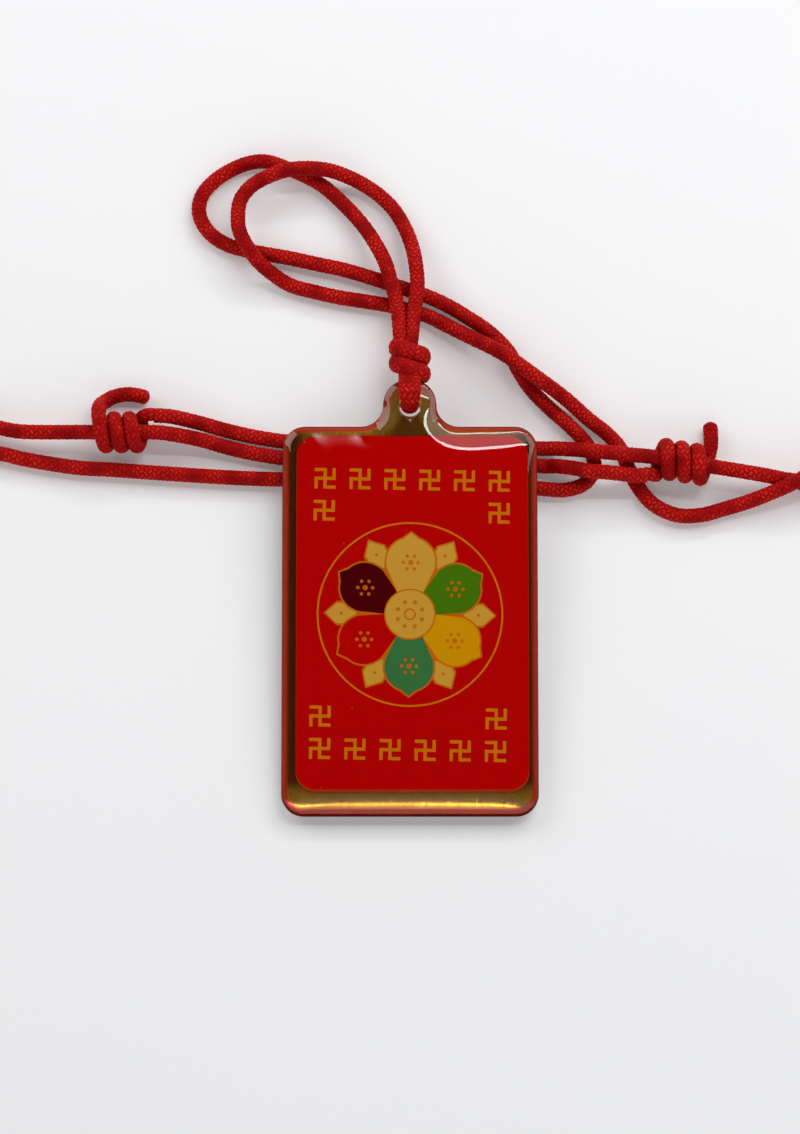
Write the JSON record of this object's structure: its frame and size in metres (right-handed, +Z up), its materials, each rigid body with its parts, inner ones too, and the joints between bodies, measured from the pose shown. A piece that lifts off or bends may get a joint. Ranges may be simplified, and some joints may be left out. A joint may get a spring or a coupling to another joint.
{
  "type": "amulet pendant",
  "caption": "Rectangular brass amulet card with printed lotus under clear resin domes and an ear at its top, on a red knotted cord necklace with two sliding knots.",
  "frame": {"origin": "under the middle of the card, on the surface that it lies on", "axes": "+Y along the card towards its ear and cord hole, +Z up out of its printed front, +X to the right"},
  "size_m": [0.1219, 0.0787, 0.0071],
  "materials": {
    "brass": "brushed",
    "front_print": "printed film",
    "back_print": "printed film",
    "clear_resin": "clear gloss",
    "red_cord": "braided"
  },
  "bodies": {
    "necklace": {"outer_strand_loop": "red_cord", "outer_strand_descent": "red_cord", "outer_strand_under_card": "red_cord", "outer_strand_left_bight": "red_cord", "outer_strand_overlap": "red_cord", "inner_strand_loop": "red_cord", "inner_strand_right_bight": "red_cord", "inner_strand_overlap": "red_cord"},
    "hanger": {"main_knot_wraps": "red_cord", "main_knot_core": "red_cord", "hole_bight": "red_cord"},
    "card": {"brass_plate": "brass", "front_print_panel": "front_print", "front_resin_dome": "clear_resin", "back_print_panel": "back_print", "back_resin_dome": "clear_resin"},
    "right_slider": {"right_sliding_knot": "red_cord"},
    "left_slider": {"left_sliding_knot": "red_cord"}
  },
  "joints": [
    {"name": "pendant_lift", "type": "hinge", "parent": "necklace", "child": "hanger", "pos_m": [0, 0.03123, 0.00453], "axis": [-1, 0, 0], "range_deg": [0, 60]},
    {"name": "card_swing", "type": "hinge", "parent": "hanger", "child": "card", "pos_m": [0, 0.02226, 0.00401], "axis": [0, -0.0589, 0.9983], "range_deg": [-45, 10]},
    {"name": "right_knot_slide", "type": "slide", "parent": "necklace", "child": "right_slider", "axis": [0.9867, -0.1626, 0], "range_m": [0, 0.004]},
    {"name": "left_knot_slide", "type": "slide", "parent": "necklace", "child": "left_slider", "axis": [-1, 0, 0], "range_m": [0, 0.004]}
  ]
}
